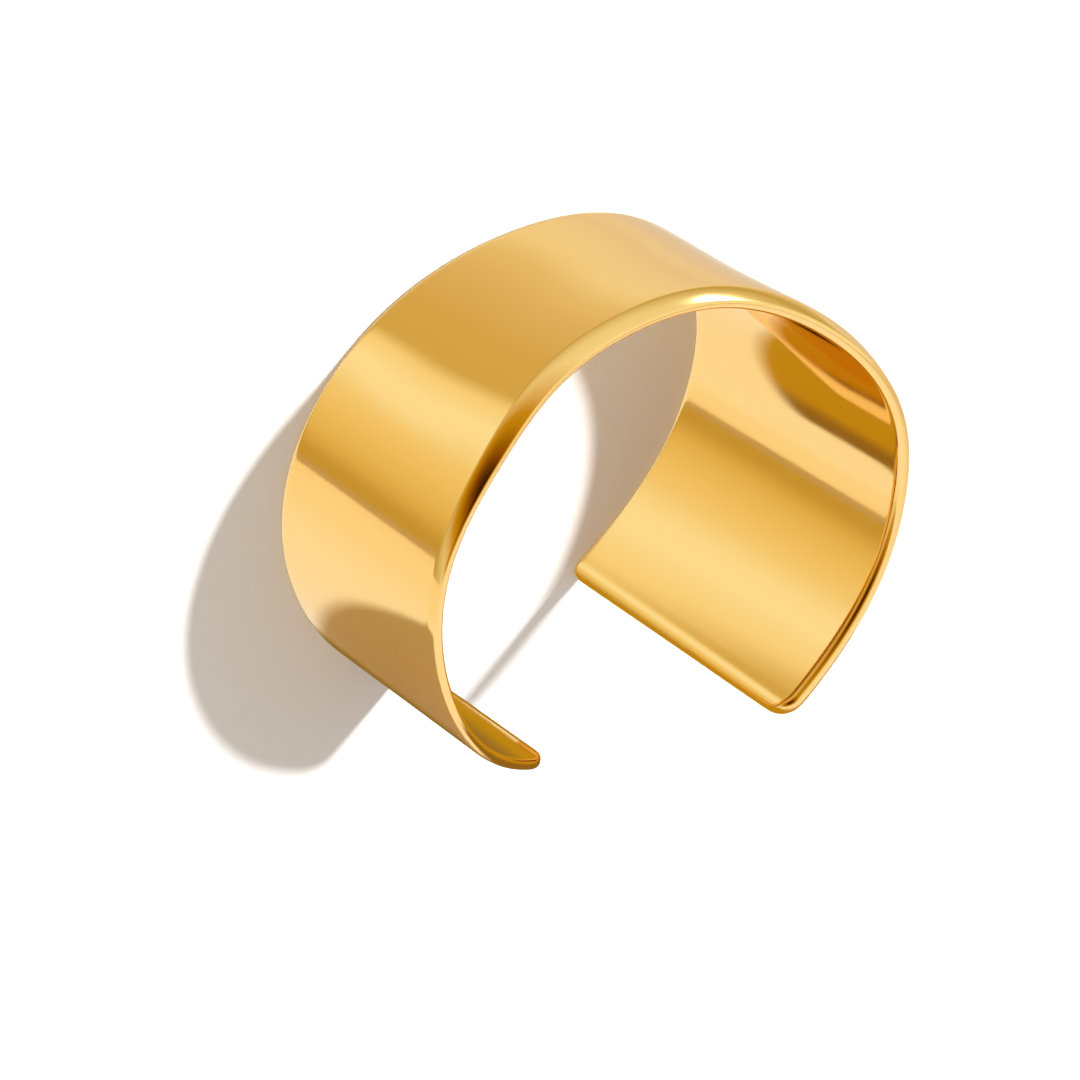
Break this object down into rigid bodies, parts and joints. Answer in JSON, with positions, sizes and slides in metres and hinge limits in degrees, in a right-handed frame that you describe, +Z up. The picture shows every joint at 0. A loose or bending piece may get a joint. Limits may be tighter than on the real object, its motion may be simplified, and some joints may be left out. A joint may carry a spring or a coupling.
{
  "type": "cuff bracelet",
  "caption": "Wide open cuff bracelet in polished gold-coloured metal, with a softly dished face, a bevelled upper edge and rounded ends, lying on its side.",
  "frame": {"origin": "centre of the bounding box's underside, on the plane that the lower edge rests on", "axes": "+X to the right across the oval's longer way, +Y from the gap between the ends to the crown, +Z up along the wrist's axis"},
  "size_m": [0.063, 0.0538, 0.0365],
  "materials": {
    "polished_gold": "mirror polished, gold coloured"
  },
  "bodies": {
    "root": {"cuff_band": "polished_gold"}
  },
  "joints": []
}
